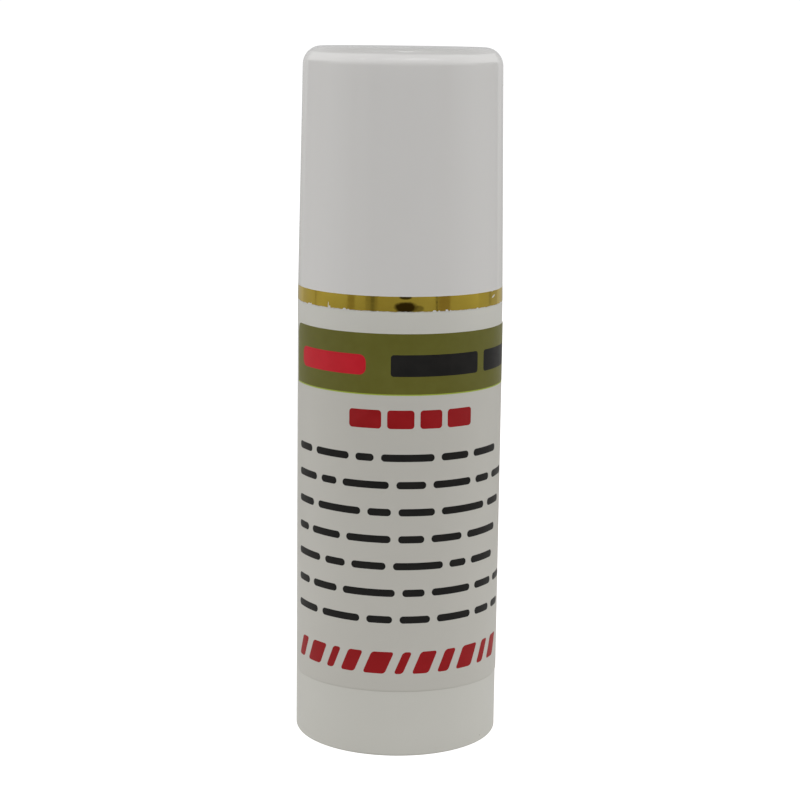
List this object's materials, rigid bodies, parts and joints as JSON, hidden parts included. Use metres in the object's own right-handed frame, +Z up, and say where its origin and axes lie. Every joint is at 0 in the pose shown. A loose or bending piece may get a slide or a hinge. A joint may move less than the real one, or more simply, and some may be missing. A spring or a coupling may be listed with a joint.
{
  "type": "stain remover spray bottle",
  "caption": "Small cylindrical fine-mist spray bottle for fabric stain remover, with a full-diameter pull-off overcap, foil band, wrap label and screw-on pump.",
  "frame": {"origin": "centre of the standing base, on the surface the bottle stands on", "axes": "+Z up along the bottle's axis, the label's front and the nozzle towards -Y"},
  "size_m": [0.0351, 0.0351, 0.1183],
  "materials": {
    "bottle_white": "satin",
    "label_film": "satin",
    "cap_white": "gloss",
    "gold_foil": "polished",
    "pump_white": "satin",
    "pump_natural": "satin",
    "seal_grey": "matte",
    "spring_steel": "polished"
  },
  "bodies": {
    "bottle": {"bottle": "bottle_white", "label": "label_film"},
    "overcap": {"overcap": "cap_white", "gold_band": "gold_foil"},
    "pump": {"pump_housing": "pump_natural", "turret": "pump_white", "stem_seal": "seal_grey", "gasket": "seal_grey", "dip_tube": "pump_natural", "return_spring": "spring_steel"},
    "closure": {"closure": "pump_white"},
    "stem": {"stem": "pump_white", "valve_rod": "pump_natural", "upper_spring": "spring_steel"},
    "piston": {"piston": "pump_natural"},
    "ball": {"check_ball": "spring_steel"},
    "actuator": {"actuator": "pump_white", "nozzle_insert": "pump_white"}
  },
  "joints": [
    {"name": "cap_lift", "type": "slide", "parent": "bottle", "child": "overcap", "axis": [0, 0, 1], "range_m": [0, 0.045]},
    {"name": "pump_lift", "type": "slide", "parent": "bottle", "child": "pump", "axis": [0, 0, 1], "range_m": [0, 0.00476]},
    {"name": "closure_turn", "type": "hinge", "parent": "pump", "child": "closure", "pos_m": [0, 0, 0.09], "axis": [0, 0, 1], "range_deg": [0, 540]},
    {"name": "press", "type": "slide", "parent": "pump", "child": "stem", "axis": [0, 0, -1], "range_m": [0, 0.0042], "stiffness_N_per_m": 1200, "springref_m": -0.003, "deforming": ["return_spring"]},
    {"name": "piston_slip", "type": "slide", "parent": "stem", "child": "piston", "axis": [0, 0, 1], "range_m": [0, 0.0006], "stiffness_N_per_m": 600, "springref_m": -0.002, "deforming": ["upper_spring"]},
    {"name": "ball_lift", "type": "slide", "parent": "pump", "child": "ball", "axis": [0, 0, 1], "range_m": [0, 0.0008]},
    {"name": "actuator_turn", "type": "hinge", "parent": "stem", "child": "actuator", "pos_m": [0, 0, 0.106], "axis": [0, 0, 1], "continuous": true}
  ],
  "couplings": [
    {"joint": "closure_turn", "follows": "pump_lift", "rad_per_m": 1978.9}
  ]
}
